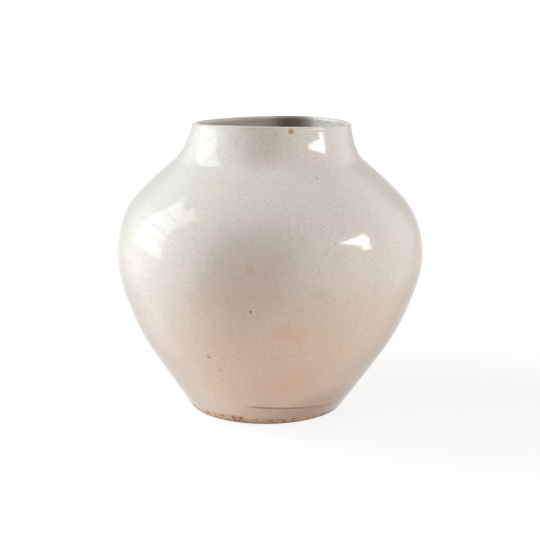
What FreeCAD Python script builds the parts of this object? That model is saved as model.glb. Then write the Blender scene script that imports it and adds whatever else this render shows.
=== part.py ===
import FreeCAD, Part
import Sketcher
import os

# A moon jar: a big white storage jar made of two bowls thrown apart on the wheel and luted together rim to
# rim, on a turned foot ring, with a short flared collar. It stands on z = 0, its belly is centred on the Z
# axis, and the side towards -Y is the front. Nothing on it moves.
doc = FreeCAD.newDocument("moon_jar")
sizes = doc.addObject("Spreadsheet::Sheet", "sizes")

# Driving sizes: millimetres, and degrees where the name says tilt.
driving_sizes = [
    ("foot_height", 20.0, "of the foot ring"),
    ("lower_bowl_height", 131.5, "of the lower bowl, from its joint with the foot ring to its rim"),
    ("upper_bowl_height", 88.5, "of the upper bowl, from its rim to its opening"),
    ("collar_height", 34.1, "of the collar, from its root to the middle of the lip's top"),
    ("slip_thickness", 1.5, "of the clay slip in each joint"),
    ("belly_radius", 150.0, "outside, at the two bowls' rims, which are the widest"),
    ("foot_radius", 77.0, "outside, where the foot meets the table"),
    ("foot_width", 11.0, "of the foot ring's underside, across"),
    ("foot_bevel", 0.6, "worn edge of the foot where it meets the table"),
    ("ankle_radius", 90.8, "outside, at the top of the foot ring"),
    ("seat_width", 28.8, "of the foot ring's top, across"),
    ("seat_depth", 4.0, "how deep the lower bowl's base sits down in the foot ring"),
    ("foot_line_depth", 1.2, "how far the slip over the foot ring lies back in its joint"),
    ("floor_thickness", 12.0, "of the lower bowl's floor"),
    ("floor_radius", 48.0, "of the flat of the floor inside"),
    ("low_wall", 11.0, "wall across, low in the lower bowl"),
    ("belly_wall", 7.0, "wall across, at the belly"),
    ("shoulder_wall", 9.0, "wall across, high on the shoulder"),
    ("neck_radius", 92.0, "outside, at the upper bowl's opening"),
    ("neck_step", 1.6, "how much narrower the collar's root is than the bowl's opening"),
    ("neck_wall", 7.6, "wall across, at the root of the collar"),
    ("neck_taper", 14.8, "how much narrower the lip is outside than the bowl's opening"),
    ("lip_ledge", 0.2, "how far the collar stands out under the lip"),
    ("lip_height", 3.2, "of the rounded lip, up the jar"),
    ("lip_width", 6.2, "of the rounded lip, across the wall"),
    ("lip_flat", 0.6, "left between the lip's two round edges"),
    ("bead_height", 7.0, "of the slip squeezed out inside the belly joint"),
    ("bead_depth", 2.4, "how far that bead stands into the jar"),
    ("bead_gap", 0.1, "between that bead and the two walls"),
    ("foot_lean", -3.8, "centre of the foot, to the right of the belly's"),
    ("shoulder_lean", -1.5, "centre of the shoulder, to the right of the belly's"),
    ("mouth_lean", 1.4, "centre of the mouth, to the right of the belly's"),
    ("mouth_tilt", -0.9, "slope of the mouth, high at the front"),
]
for row, (alias, value, meaning) in enumerate(driving_sizes, start=1):
    sizes.set("A%d" % row, alias)
    sizes.set("B%d" % row, str(value))
    sizes.set("C%d" % row, meaning)
    sizes.setAlias("B%d" % row, alias)
doc.recompute()

# Sums that several pieces share, written once. The pieces stand on each other with the slip between them.
RECESS_TOP = "(sizes.foot_height - sizes.seat_depth)"
FLOOR_TOP = "(sizes.foot_height - sizes.seat_depth + sizes.floor_thickness)"
FOOT_TOP = "(sizes.foot_height + sizes.slip_thickness)"
SEAM_BOTTOM = "(%s + sizes.lower_bowl_height)" % FOOT_TOP
SEAM_TOP = "(%s + sizes.slip_thickness)" % SEAM_BOTTOM
NECK_BOTTOM = "(%s + sizes.upper_bowl_height)" % SEAM_TOP
NECK_TOP = "(%s + sizes.slip_thickness)" % NECK_BOTTOM
LIP_BASE = "(%s + sizes.collar_height - sizes.lip_height)" % NECK_TOP
SEAT_RADIUS = "(sizes.ankle_radius - sizes.seat_width)"
FOOT_SPREAD = "((sizes.ankle_radius - sizes.foot_radius) / sizes.foot_height)"
BOWL_BASE_RADIUS = "(sizes.ankle_radius + %s * sizes.slip_thickness)" % FOOT_SPREAD
COLLAR_ROOT_RADIUS = "(sizes.neck_radius - sizes.neck_step)"
LIP_RADIUS = "(sizes.neck_radius - sizes.neck_taper)"
COLLAR_TOP_RADIUS = "(%s + sizes.lip_ledge)" % LIP_RADIUS
COLLAR_TOP_WALL = "(sizes.lip_width + sizes.lip_ledge)"
LIP_ROUND = "((sizes.lip_width - sizes.lip_flat) / 2)"

# The jar was thrown by hand, so it is round at every height but its centre wanders. Each outline is a list
# of rings, and each ring is four shares: of the height, of the way from the first radius to the last, of
# the way from the first centre to the last, and of the way from the first wall thickness to the last.
lower_bowl_shares = [
    (0.000, 0.000, 0.00, 0.00),
    (0.141, 0.210, 0.22, 0.00),
    (0.293, 0.435, 0.41, 0.20),
    (0.446, 0.631, 0.58, 0.50),
    (0.598, 0.780, 0.74, 0.72),
    (0.750, 0.901, 0.87, 0.88),
    (0.872, 0.972, 0.96, 0.97),
    (1.000, 1.000, 1.00, 1.00),
]
upper_bowl_shares = [
    (0.000, 0.000, 0.00, 0.00),
    (0.109, 0.011, 0.08, 0.03),
    (0.267, 0.062, 0.22, 0.12),
    (0.403, 0.140, 0.50, 0.35),
    (0.539, 0.264, 0.80, 0.70),
    (0.675, 0.451, 0.97, 1.00),
    (0.810, 0.668, 1.00, 1.00),
    (0.946, 0.911, 1.00, 1.00),
    (1.000, 1.000, 1.00, 1.00),
]
collar_shares = [
    (0.000, 0.000, 0.00, 0.00),
    (0.178, 0.312, 0.18, 0.20),
    (0.314, 0.480, 0.33, 0.38),
    (0.573, 0.739, 0.60, 0.65),
    (0.777, 0.899, 0.80, 0.85),
    (0.906, 0.980, 0.92, 0.94),
    (1.000, 1.000, 1.00, 1.00),
]
# The floor turns up into the wall: shares of the height from the floor to the second ring of the lower
# bowl, and of the way from the flat's radius to the wall's there.
floor_turn_shares = [(0.00, 0.00), (0.10, 0.42), (0.38, 0.76)]
ankle_lean_share = 0.78
# The middle of a quarter round: the sine of 45 degrees.
arc_middle_share = 0.7071
# The degree of the lofted surfaces: cubic is smooth enough, and keeps them light.
plain_degree = 3
full_turn = 360


def bind(thing, **properties):
    """Ties properties of an object to the sheet; lean and level stand for its place, tilt for its slope."""
    places = {"lean": "Placement.Base.x", "level": "Placement.Base.z", "tilt": "Placement.Rotation.Angle"}
    if "tilt" in properties:
        thing.Placement = FreeCAD.Placement(FreeCAD.Vector(), FreeCAD.Rotation(FreeCAD.Vector(1, 0, 0), 1))
    for name, text in properties.items():
        thing.setExpression(places.get(name, name), text)
    return thing


def between(first, last, share):
    """An expression for the value that lies the given share of the way from one value to another."""
    return "(%s + %s * (%s - %s))" % (first, share, last, first)


def loft(name, rings, ruled=False):
    """A smooth solid through circles, each given as radius, level, lean and tilt, from the lowest up. A
    ruled one is straight between its rings."""
    circles = []
    for number, (radius, level, lean, tilt) in enumerate(rings):
        circle = doc.addObject("Part::Circle", "%s_ring_%02d" % (name, number))
        circles.append(bind(circle, Radius=radius, level=level, lean=lean, tilt=tilt))
    solid = doc.addObject("Part::Loft", name)
    solid.Sections = circles
    solid.Solid = True
    solid.Ruled = ruled
    solid.MaxDegree = plain_degree
    return solid


def joined(kind, name, base, tool):
    """A Part::Cut, Part::Common or Part::Fuse of two solids."""
    result = doc.addObject("Part::" + kind, name)
    result.Base = base
    result.Tool = tool
    return result


def turned_wall(shares, levels, radii, leans, walls, tilt="0"):
    """Rings of the outside and the inside of a thrown wall, from the values at its foot and its head."""
    outside, inside = [], []
    for height_share, radius_share, lean_share, wall_share in shares:
        level = between(*levels, height_share)
        radius = between(*radii, radius_share)
        lean = between(*leans, lean_share)
        wall = between(*walls, wall_share)
        slope = "%s * %s" % (height_share, tilt)
        outside.append((radius, level, lean, slope))
        inside.append(("%s - %s" % (radius, wall), level, lean, slope))
    return outside, inside


def value_of(text):
    """The number that an expression over the sheet has now."""
    return float(sizes.evalExpression(text.replace("sizes.", "")))


def turned_ring(name, corners, arcs, **place):
    """A ring turned from a closed section. Corners are expressions for the distance from the axis and the
    height; a height of None lies on the section's base line. The side after a corner is straight, or an arc
    if arcs has that corner's number with a radius and the point that the arc passes at its middle."""
    body = doc.addObject("PartDesign::Body", name)
    sketch = body.newObject("Sketcher::SketchObject", name + "_section")
    plane = [feature for feature in body.Origin.OriginFeatures if feature.Role == "XZ_Plane"][0]
    sketch.AttachmentSupport = [(plane, "")]
    sketch.MapMode = "FlatFace"
    places = [FreeCAD.Vector(value_of(across), value_of(up) if up else 0, 0) for across, up in corners]
    for number, start in enumerate(places):
        end = places[(number + 1) % len(places)]
        if number in arcs:
            across, up = arcs[number][1]
            middle = FreeCAD.Vector(value_of(across), value_of(up), 0)
            sketch.addGeometry(Part.Arc(start, middle, end))
        else:
            sketch.addGeometry(Part.LineSegment(start, end))
    for number, (across, up) in enumerate(corners):
        before = number - 1 if number else len(corners) - 1
        here, there = end_of(sketch, number, places[number]), end_of(sketch, before, places[number])
        sketch.addConstraint(Sketcher.Constraint("Coincident", before, there, number, here))
        hold(sketch, "DistanceX", (-1, 1, number, here), across)
        if up:
            hold(sketch, "DistanceY", (-1, 1, number, here), up)
        else:
            sketch.addConstraint(Sketcher.Constraint("PointOnObject", number, here, -1))
        if number in arcs:
            hold(sketch, "Radius", (number,), arcs[number][0])
    turn = body.newObject("PartDesign::Revolution", name + "_turn")
    turn.Profile = sketch
    turn.ReferenceAxis = (sketch, ["V_Axis"])
    turn.Angle = full_turn
    return bind(body, **place)


def end_of(sketch, number, place):
    """Which end of a side, 1 or 2, lies at a place: an arc may have been stored the other way round."""
    return min((1, 2), key=lambda end: sketch.getPoint(number, end).distanceToPoint(place))


def hold(sketch, kind, where, text):
    """Adds a constraint and ties its value to the sheet."""
    index = sketch.addConstraint(Sketcher.Constraint(kind, *where, value_of(text)))
    sketch.setExpression("Constraints[%d]" % index, text)


parts = {}

# Foot ring: the turned ring that the jar stands on, open under the floor, its outer edge worn on the table.
ANKLE_LEAN = "(%s * sizes.foot_lean)" % ankle_lean_share
foot_blank = loft("foot_blank", [
    ("sizes.foot_radius - sizes.foot_bevel", "0", "sizes.foot_lean", "0"),
    (between("sizes.foot_radius", "sizes.ankle_radius", "(sizes.foot_bevel / sizes.foot_height)"),
     "sizes.foot_bevel", "sizes.foot_lean", "0"),
    ("sizes.ankle_radius", "sizes.foot_height", ANKLE_LEAN, "0"),
], ruled=True)
recess = bind(
    doc.addObject("Part::Cone", "recess"), Radius1="sizes.foot_radius - sizes.foot_width",
    Radius2=SEAT_RADIUS, Height=RECESS_TOP, lean="sizes.foot_lean",
)
seat = bind(
    doc.addObject("Part::Cylinder", "seat"), Radius=SEAT_RADIUS, Height="sizes.foot_height",
    lean="sizes.foot_lean",
)
foot_opened = joined("Cut", "foot_opened", foot_blank, recess)
parts["foot_ring"] = joined("Cut", "foot_ring", foot_opened, seat)

# Foot slip: the clay slip that glues the bowl's base into the ring, a sleeve with a flange. The flange is
# turned about the foot's own centre and lies back from the wall, deeper at the right, which leaves the fine
# line that runs round the jar over its foot.
SLEEVE_HEIGHT = "sizes.seat_depth + sizes.slip_thickness"
flange = bind(
    doc.addObject("Part::Cylinder", "flange"), Radius="sizes.ankle_radius - sizes.foot_line_depth",
    Height="sizes.slip_thickness", level="sizes.foot_height", lean="sizes.foot_lean",
)
sleeve = bind(
    doc.addObject("Part::Cylinder", "sleeve"), Radius=SEAT_RADIUS, Height=SLEEVE_HEIGHT, level=RECESS_TOP,
    lean="sizes.foot_lean",
)
base = bind(
    doc.addObject("Part::Cylinder", "base"), Radius=SEAT_RADIUS + " - sizes.slip_thickness",
    Height=SLEEVE_HEIGHT, level=RECESS_TOP, lean="sizes.foot_lean",
)
parts["foot_slip"] = joined("Cut", "foot_slip", joined("Fuse", "flanged_sleeve", flange, sleeve), base)

# Lower bowl: thrown as one bowl, with the thick base that sits down in the foot ring.
outside, inside = turned_wall(
    lower_bowl_shares, (FOOT_TOP, SEAM_BOTTOM), (BOWL_BASE_RADIUS, "sizes.belly_radius"),
    (ANKLE_LEAN, "0"), ("sizes.low_wall", "sizes.belly_wall"),
)
wall_rings = inside[1:]
wall_radius, wall_level, wall_lean, wall_slope = wall_rings[0]
floor_rings = []
for height_share, radius_share in floor_turn_shares:
    floor_rings.append((
        between("sizes.floor_radius", "(%s)" % wall_radius, radius_share),
        between(FLOOR_TOP, wall_level, height_share),
        wall_lean,
        wall_slope,
    ))
lower_outside = loft("lower_outside", outside)
lower_hollow = loft("lower_hollow", floor_rings + wall_rings)
lower_wall = joined("Cut", "lower_wall", lower_outside, lower_hollow)
parts["lower_bowl"] = joined("Fuse", "lower_bowl", lower_wall, base)

# Upper bowl: thrown as the other bowl, turned over, and opened at its base for the collar.
outside, inside = turned_wall(
    upper_bowl_shares, (SEAM_TOP, NECK_BOTTOM), ("sizes.belly_radius", "sizes.neck_radius"),
    ("0", "sizes.shoulder_lean"), ("sizes.belly_wall", "sizes.shoulder_wall"),
)
upper_outside, upper_hollow = loft("upper_outside", outside), loft("upper_hollow", inside)
parts["upper_bowl"] = joined("Cut", "upper_bowl", upper_outside, upper_hollow)

# Collar: the short flared neck, which slopes a little with the mouth, up towards the front.
outside, inside = turned_wall(
    collar_shares, (NECK_TOP, LIP_BASE), (COLLAR_ROOT_RADIUS, COLLAR_TOP_RADIUS),
    ("sizes.shoulder_lean", "sizes.mouth_lean"), ("sizes.neck_wall", COLLAR_TOP_WALL), "sizes.mouth_tilt",
)
collar_wall = joined("Cut", "collar_wall", loft("collar_outside", outside), loft("collar_hollow", inside))

# The lip: the collar's rim, pressed round with a strip of wet leather that left a fine crease below it.
LIP_INSIDE = "(%s - sizes.lip_width)" % LIP_RADIUS
LIP_SHOULDER = "(sizes.lip_height - %s)" % LIP_ROUND
lip = turned_ring(
    "lip",
    [
        (LIP_INSIDE, None),
        (LIP_RADIUS, None),
        (LIP_RADIUS, LIP_SHOULDER),
        (LIP_RADIUS + " - " + LIP_ROUND, "sizes.lip_height"),
        (LIP_INSIDE + " + " + LIP_ROUND, "sizes.lip_height"),
        (LIP_INSIDE, LIP_SHOULDER),
    ],
    {
        2: (LIP_ROUND, (
            "%s - (1 - %s) * %s" % (LIP_RADIUS, arc_middle_share, LIP_ROUND),
            "%s + %s * %s" % (LIP_SHOULDER, arc_middle_share, LIP_ROUND),
        )),
        4: (LIP_ROUND, (
            "%s + (1 - %s) * %s" % (LIP_INSIDE, arc_middle_share, LIP_ROUND),
            "%s + %s * %s" % (LIP_SHOULDER, arc_middle_share, LIP_ROUND),
        )),
    },
    level=LIP_BASE, lean="sizes.mouth_lean", tilt="sizes.mouth_tilt",
)
parts["neck_collar"] = joined("Fuse", "neck_collar", collar_wall, lip)

# Neck slip: the band of slip that glues the collar on the upper bowl.
neck_outside = loft("neck_slip_outside", [
    ("sizes.neck_radius", NECK_BOTTOM, "sizes.shoulder_lean", "0"),
    (COLLAR_ROOT_RADIUS, NECK_TOP, "sizes.shoulder_lean", "0"),
])
neck_inside = loft("neck_slip_inside", [
    ("sizes.neck_radius - sizes.shoulder_wall", NECK_BOTTOM, "sizes.shoulder_lean", "0"),
    (COLLAR_ROOT_RADIUS + " - sizes.neck_wall", NECK_TOP, "sizes.shoulder_lean", "0"),
])
parts["neck_slip"] = joined("Cut", "neck_slip", neck_outside, neck_inside)

# Belly slip: the band of slip between the two bowls' rims, with the bead that squeezed out inside, where
# nobody could reach to wipe it away.
WALL_INSIDE = "(sizes.belly_radius - sizes.belly_wall)"
BEAD_BACK = "(%s - sizes.bead_gap)" % WALL_INSIDE
BEAD_ROUND = "((sizes.bead_height ^ 2 / 4 + sizes.bead_depth ^ 2) / (2 * sizes.bead_depth))"
BAND_BOTTOM = "((sizes.bead_height - sizes.slip_thickness) / 2)"
BAND_TOP = "((sizes.bead_height + sizes.slip_thickness) / 2)"
parts["belly_slip"] = turned_ring(
    "belly_slip",
    [
        (BEAD_BACK, None),
        (BEAD_BACK, BAND_BOTTOM),
        ("sizes.belly_radius", BAND_BOTTOM),
        ("sizes.belly_radius", BAND_TOP),
        (BEAD_BACK, BAND_TOP),
        (BEAD_BACK, "sizes.bead_height"),
    ],
    {5: (BEAD_ROUND, (BEAD_BACK + " - sizes.bead_depth", "sizes.bead_height / 2"))},
    level="%s + sizes.slip_thickness / 2 - sizes.bead_height / 2" % SEAM_BOTTOM,
)

doc.recompute()

for item in doc.Objects:
    if "Invalid" in item.State or "Error" in item.State:
        raise RuntimeError("%s did not build: %s" % (item.Name, item.State))
for node, item in parts.items():
    item.Label = node
    if item.Shape.isNull() or not item.Shape.isValid() or not item.Shape.Solids:
        raise RuntimeError("%s has no sound shape" % node)

os.makedirs("parts", exist_ok=True)
for node, item in parts.items():
    item.Shape.exportStep("parts/%s.step" % node)
    print("%-12s %9.0f cubic mm, %d faces" % (node, item.Shape.Volume, len(item.Shape.Faces)))
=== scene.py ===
# %% [markdown]
# # A white moon jar
#
# This jar is two bowls thrown on a wheel, joined rim to rim, with a turned foot ring and a short flared
# collar. It is porcelain clay under a clear, milky glaze. Its pieces exist as plain solids, but they lack
# what a hand and a kiln leave behind. So this lesson gives each a finer skin, and a finish worked out from
# noise and numbers alone, with no picture.

# %% Load the frame
import math
import random

import bpy
import numpy as np
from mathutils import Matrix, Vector
from mathutils.bvhtree import BVHTree


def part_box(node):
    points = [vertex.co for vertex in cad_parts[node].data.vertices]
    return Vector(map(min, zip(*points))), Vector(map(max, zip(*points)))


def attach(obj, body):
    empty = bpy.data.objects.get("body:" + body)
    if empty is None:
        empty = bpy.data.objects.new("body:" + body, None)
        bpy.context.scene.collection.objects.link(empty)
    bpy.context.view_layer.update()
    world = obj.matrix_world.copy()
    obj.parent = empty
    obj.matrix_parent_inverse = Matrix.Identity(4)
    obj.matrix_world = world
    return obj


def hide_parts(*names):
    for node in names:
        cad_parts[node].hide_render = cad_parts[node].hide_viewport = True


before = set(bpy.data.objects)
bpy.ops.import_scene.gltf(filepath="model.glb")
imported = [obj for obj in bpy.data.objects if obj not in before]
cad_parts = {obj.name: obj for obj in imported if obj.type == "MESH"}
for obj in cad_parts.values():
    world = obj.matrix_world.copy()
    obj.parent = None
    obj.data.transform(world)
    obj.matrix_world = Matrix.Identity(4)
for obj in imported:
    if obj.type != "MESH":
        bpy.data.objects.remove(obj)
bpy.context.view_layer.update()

MM = 0.001
BODY = "root"
print("nodes:", ", ".join(sorted(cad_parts)))

# %% [markdown]
# ## The camera first
#
# Some marks on the jar, such as a rust spot, are known only by where they fall in the photograph. Placing
# them by eye would do, but a camera that stands where the photographer's stood turns each place into a
# point on the wall. Its distance, height and lens follow from how round the mouth and the foot look, and a
# little trigonometry gives the line of sight through a pixel.

# %% The camera
CAMERA_DISTANCE = 1.062
CAMERA_HEIGHT = 0.3703
CAMERA_DIP = math.radians(12.62)
PHOTO_SIZE = 540
FOCAL_PIXELS = 1099.4
SENSOR = 36.0

camera_data = bpy.data.cameras.new("camera")
camera_data.sensor_width = SENSOR
camera_data.lens = FOCAL_PIXELS / PHOTO_SIZE * SENSOR
camera = bpy.data.objects.new("camera", camera_data)
camera.location = (0, -CAMERA_DISTANCE, CAMERA_HEIGHT)
camera.rotation_euler = (math.pi / 2 - CAMERA_DIP, 0, 0)
bpy.context.collection.objects.link(camera)
bpy.context.scene.camera = camera
PHOTO_MIDDLE = (PHOTO_SIZE - 1) / 2


def sight_line(across, down):
    """The way that a place in the photograph, in pixels, lies from the camera."""
    right = (across - PHOTO_MIDDLE) / FOCAL_PIXELS
    up = (PHOTO_MIDDLE - down) / FOCAL_PIXELS
    forward = Vector((0, math.cos(CAMERA_DIP), -math.sin(CAMERA_DIP)))
    above = Vector((0, math.sin(CAMERA_DIP), math.cos(CAMERA_DIP)))
    return (Vector((right, 0, 0)) + forward + above * up).normalized()


print("lens: %.1f mm" % camera_data.lens)

# %% [markdown]
# ## Measuring the wall
#
# The skins have to lie where the solids lie. Copying the solids' facets would be heavy and keep their
# edges. Instead rays are shot at the solids all round one height. They give its radius and its centre,
# because a thrown jar wanders a little from its axis.

# %% Rays against the solids
RAYS = 96
FAR_OUT = 0.4
ray_angles = np.linspace(0, 2 * np.pi, RAYS, endpoint=False)


def solid_tree(names):
    """One ray-casting tree over several of the frame's nodes."""
    places, faces = [], []
    for name in names:
        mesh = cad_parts[name].data
        start = len(places)
        places += [vertex.co.copy() for vertex in mesh.vertices]
        faces += [[start + index for index in face.vertices] for face in mesh.polygons]
    return BVHTree.FromPolygons(places, faces)


jar_tree = solid_tree(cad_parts)


def on_jar(across, down):
    """The point of the jar's wall that the camera sees at a place in the photograph."""
    return jar_tree.ray_cast(camera.location, sight_line(across, down))[0]


def wall_ring(height, inside, rise=0.0):
    """Radius and centre of the wall's outer or inner face, on a level or a plane that rises to the front."""
    radii = []
    for angle in ray_angles:
        out = Vector((math.cos(angle), math.sin(angle), 0))
        up = Vector((0, 0, height - rise * math.sin(angle)))
        if inside:
            hit = jar_tree.ray_cast(up, out)
        else:
            hit = jar_tree.ray_cast(out * FAR_OUT + up, -out)
        radii.append(math.hypot(hit[0].x, hit[0].y))
    radii = np.array(radii)
    centre_x = 2 * np.mean(radii * np.cos(ray_angles))
    centre_y = 2 * np.mean(radii * np.sin(ray_angles))
    return float(np.mean(radii)), float(centre_x), float(centre_y)


print("the middle line meets the jar %.0f mm up" % (on_jar(PHOTO_MIDDLE, PHOTO_MIDDLE).z / MM))

# %% [markdown]
# ## A curve through rings
#
# Between two rings the wall runs on smoothly, as clay does under a finger. Straight steps would shine as
# bands in the glaze. A cubic spline has no corners, and a few lines of algebra make one.

# %% A smooth curve
class Curve:
    """A smooth curve through points: a natural cubic spline, carried on straight beyond its ends."""

    def __init__(self, heights, values):
        self.heights, self.values = np.array(heights), np.array(values)
        steps = np.diff(self.heights)
        slopes = np.diff(self.values) / steps
        count = len(heights)
        system = np.eye(count)
        right = np.zeros(count)
        for row in range(1, count - 1):
            system[row, row - 1:row + 2] = steps[row - 1], 2 * (steps[row - 1] + steps[row]), steps[row]
            right[row] = 6 * (slopes[row] - slopes[row - 1])
        self.bends = np.linalg.solve(system, right)
        self.first = slopes[0] - steps[0] * self.bends[1] / 6
        self.last = slopes[-1] + steps[-1] * self.bends[-2] / 6

    def __call__(self, height):
        within = np.clip(height, self.heights[0], self.heights[-1])
        index = np.clip(np.searchsorted(self.heights, within) - 1, 0, len(self.heights) - 2)
        step = self.heights[index + 1] - self.heights[index]
        before = (self.heights[index + 1] - within) / step
        after = (within - self.heights[index]) / step
        bend = (before ** 3 - before) * self.bends[index] + (after ** 3 - after) * self.bends[index + 1]
        curved = before * self.values[index] + after * self.values[index + 1] + bend * step ** 2 / 6
        return curved + (height - within) * np.where(height < within, self.first, self.last)


print("half a step along a curve over 0, 1, 0:", Curve([0, 1, 2], [0, 1, 0])(0.5))

# %% [markdown]
# ## The heights that matter
#
# A potter marks the heights of the joints on a stick. They could all be typed in, but read from the frame
# they stay true when a solid changes. Only sizes that no box shows are written here.

# %% Heights of the joints and the lip
def level(node, top):
    """The height of a node's highest or lowest place."""
    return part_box(node)[1 if top else 0][2]


SLIP_LAYER = 1.5 * MM
FLOOR_THICKNESS = 12 * MM
COLLAR_HEIGHT = 34.1 * MM
LIP_HEIGHT, LIP_WIDTH, LIP_REACH = 3.2 * MM, 6.2 * MM, 74 * MM
FOOT_TOP = level("foot_ring", True)
BOWL_BASE = FOOT_TOP + SLIP_LAYER
RECESS_TOP = level("lower_bowl", False)
FLOOR_TOP = RECESS_TOP + FLOOR_THICKNESS
SEAM_BOTTOM, SEAM_TOP = level("lower_bowl", True), level("upper_bowl", False)
NECK_BOTTOM, NECK_TOP = level("neck_slip", False), level("neck_slip", True)
LIP_BASE = NECK_TOP + COLLAR_HEIGHT - LIP_HEIGHT
MOUTH_RISE = level("neck_collar", True) - LIP_BASE - LIP_HEIGHT
MOUTH_SLOPE = MOUTH_RISE / LIP_REACH
print("seam at %.1f mm, neck at %.1f mm, mouth rises to the front by 1 in %.0f" % (
    SEAM_BOTTOM / MM, NECK_BOTTOM / MM, 1 / MOUTH_SLOPE))

# %% [markdown]
# ## The wall as curves
#
# Rings at even steps would be simpler, but in the joints the slip lies back or bulges, and at the lip and
# the foot an edge is rounded. Those heights are left out, and the curves bridge them.

# %% The measured wall
FOOT_EDGE = 0.9 * MM
JOINT_GAP, SEAM_GAP, LIP_GAP = 0.5 * MM, 2 * MM, 2.2 * MM
CORNER_LOW, CORNER_HIGH, CORNER_END = 3 * MM, 10 * MM, 15 * MM
BEAD_GAP, NECK_GAP = 8 * MM, 1 * MM
LIP_LOOK = 0.4 * MM


def measured(spans, inside):
    """Curves of radius, centre x and centre y through rings in spans, each given as low, high and count."""
    heights = []
    for low, high, count in spans:
        heights += list(np.linspace(low, high, count))
    rings = [wall_ring(height, inside) for height in heights]
    return [Curve(heights, values) for values in zip(*rings)]


outside = measured([
    (FOOT_EDGE, FOOT_TOP - JOINT_GAP, 4),
    (BOWL_BASE + JOINT_GAP, SEAM_BOTTOM - SEAM_GAP, 12),
    (SEAM_TOP + SEAM_GAP, NECK_BOTTOM - JOINT_GAP, 10),
    (NECK_TOP + JOINT_GAP, LIP_BASE - LIP_GAP, 7),
], inside=False)
inside = measured([
    (FLOOR_TOP + CORNER_LOW, FLOOR_TOP + CORNER_HIGH, 4),
    (FLOOR_TOP + CORNER_END, SEAM_BOTTOM - BEAD_GAP, 9),
    (SEAM_TOP + BEAD_GAP, NECK_BOTTOM - NECK_GAP, 9),
    (NECK_TOP + NECK_GAP, LIP_BASE - LIP_GAP, 5),
], inside=True)
lip_radius, lip_x, lip_y = wall_ring(LIP_BASE + LIP_LOOK, inside=False, rise=MOUTH_RISE)
lip_bore = lip_radius - LIP_WIDTH
print("belly %.1f mm across, lip %.1f mm across" % (
    2 * outside[0](SEAM_BOTTOM) / MM, 2 * lip_radius / MM))

# %% [markdown]
# ## What a hand leaves in the clay
#
# A wheel and two hands leave a faint spiral, and the drying wall sags into broad, low waves. A bump in the
# glaze wouldn't move the outline. So both are sums of a few sine waves, which press the surface in by
# tenths of a millimetre and give its reflections the soft wobble of a thrown pot.

# %% Waves of the wall
SPIRAL_PITCH, SPIRAL_DEPTH = 9.5 * MM, 0.022 * MM
SPIRAL_SWING, SPIRAL_DRIFT = 0.9, 21
WAVE_DEPTH, WAVE_CALM = 0.09 * MM, 0.22
WAVE_CLIMB = 46
WAVE_COUNTS = (0, 1, 2, 3, 3, 4, 5, 6, 7, 9, 11)

waves = random.Random(7)
wall_waves = [
    (count, waves.uniform(-WAVE_CLIMB, WAVE_CLIMB), waves.uniform(0, 2 * math.pi),
     WAVE_DEPTH / (1 + WAVE_CALM * count))
    for count in WAVE_COUNTS
]


def wave_dent(height, angles):
    """How deep the spiral and the waves press the wall in."""
    wander = SPIRAL_SWING * np.sin(2 * angles + SPIRAL_DRIFT * height)
    sunk = SPIRAL_DEPTH * (1 + np.sin(2 * np.pi * height / SPIRAL_PITCH - angles + wander))
    for count, climb, start, depth in wall_waves:
        sunk = sunk + depth * (1 + np.sin(count * angles + climb * height + start)) / 2
    return sunk


print("the waves press in %.2f mm at most" % ((2 * SPIRAL_DEPTH + sum(wave[3] for wave in wall_waves)) / MM))

# %% [markdown]
# ## The line over the foot
#
# A thin line is pressed in where the foot ring was joined on. Glaze has filled it but for the front, where
# it runs down to the right, with a low ridge under it. A cut would leave sharp edges. Here the line lies on
# a plane through three places in the photograph, and the wall sinks softly on both sides of it.

# %% The line and its ridge
LINE_DEPTH, LINE_SPREAD, LINE_FADE = 0.5 * MM, 0.9 * MM, 16 * MM
RIDGE_BELOW, RIDGE_HEIGHT, RIDGE_SPREAD = 4.9 * MM, 0.35 * MM, 1.1 * MM
LINE_START, LINE_LOWEST, LINE_END = on_jar(249, 406.6), on_jar(286, 408.0), on_jar(341, 399.6)
LINE_RADIUS = math.hypot(LINE_LOWEST.x, LINE_LOWEST.y)

line_places = (LINE_START, LINE_LOWEST, LINE_END)
line_system = [[1, place.x, place.y] for place in line_places]
LINE_LEVEL, LINE_RIGHT, LINE_BACK = np.linalg.solve(line_system, [place.z for place in line_places]).tolist()


def hollow_at(height, middle, spread):
    """One at a height, falling softly to nothing within a spread above and below."""
    return np.exp(-((height - middle) / spread) ** 2)


def line_dent(height, angles):
    """The open part of the line over the foot, with the ridge below it."""
    across = LINE_RADIUS * np.cos(angles)
    line = LINE_LEVEL + LINE_RIGHT * across + LINE_BACK * LINE_RADIUS * np.sin(angles)
    inwards = np.minimum(across - LINE_START.x, LINE_END.x - across)
    open_share = np.clip(inwards / LINE_FADE + 0.5, 0, 1)
    pressed = LINE_DEPTH * hollow_at(height, line, LINE_SPREAD)
    pressed = pressed - RIDGE_HEIGHT * hollow_at(height, line - RIDGE_BELOW, RIDGE_SPREAD)
    return pressed * open_share * (np.sin(angles) < 0)


print("the line falls to the right by 1 in %.0f" % (-1 / LINE_RIGHT))

# %% [markdown]
# ## All dents together
#
# Where two pieces were joined the potter's rib left a soft hollow, at the belly and at the neck. Inside,
# the fingers' ridges are left to stand. Sculpting each skin would leave steps at the joints. As functions
# of height and angle the dents run on from skin to skin.

# %% The outer and the inner face
SEAM_DIP, SEAM_SPREAD = 0.14 * MM, 3.2 * MM
NECK_DIP, NECK_SPREAD = 0.25 * MM, 1.8 * MM
FINGER_PITCH, FINGER_DEPTH, FINGER_SWING = 13 * MM, 0.35 * MM, 0.4
SEAM_MIDDLE, NECK_MIDDLE = (SEAM_BOTTOM + SEAM_TOP) / 2, (NECK_BOTTOM + NECK_TOP) / 2


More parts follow.
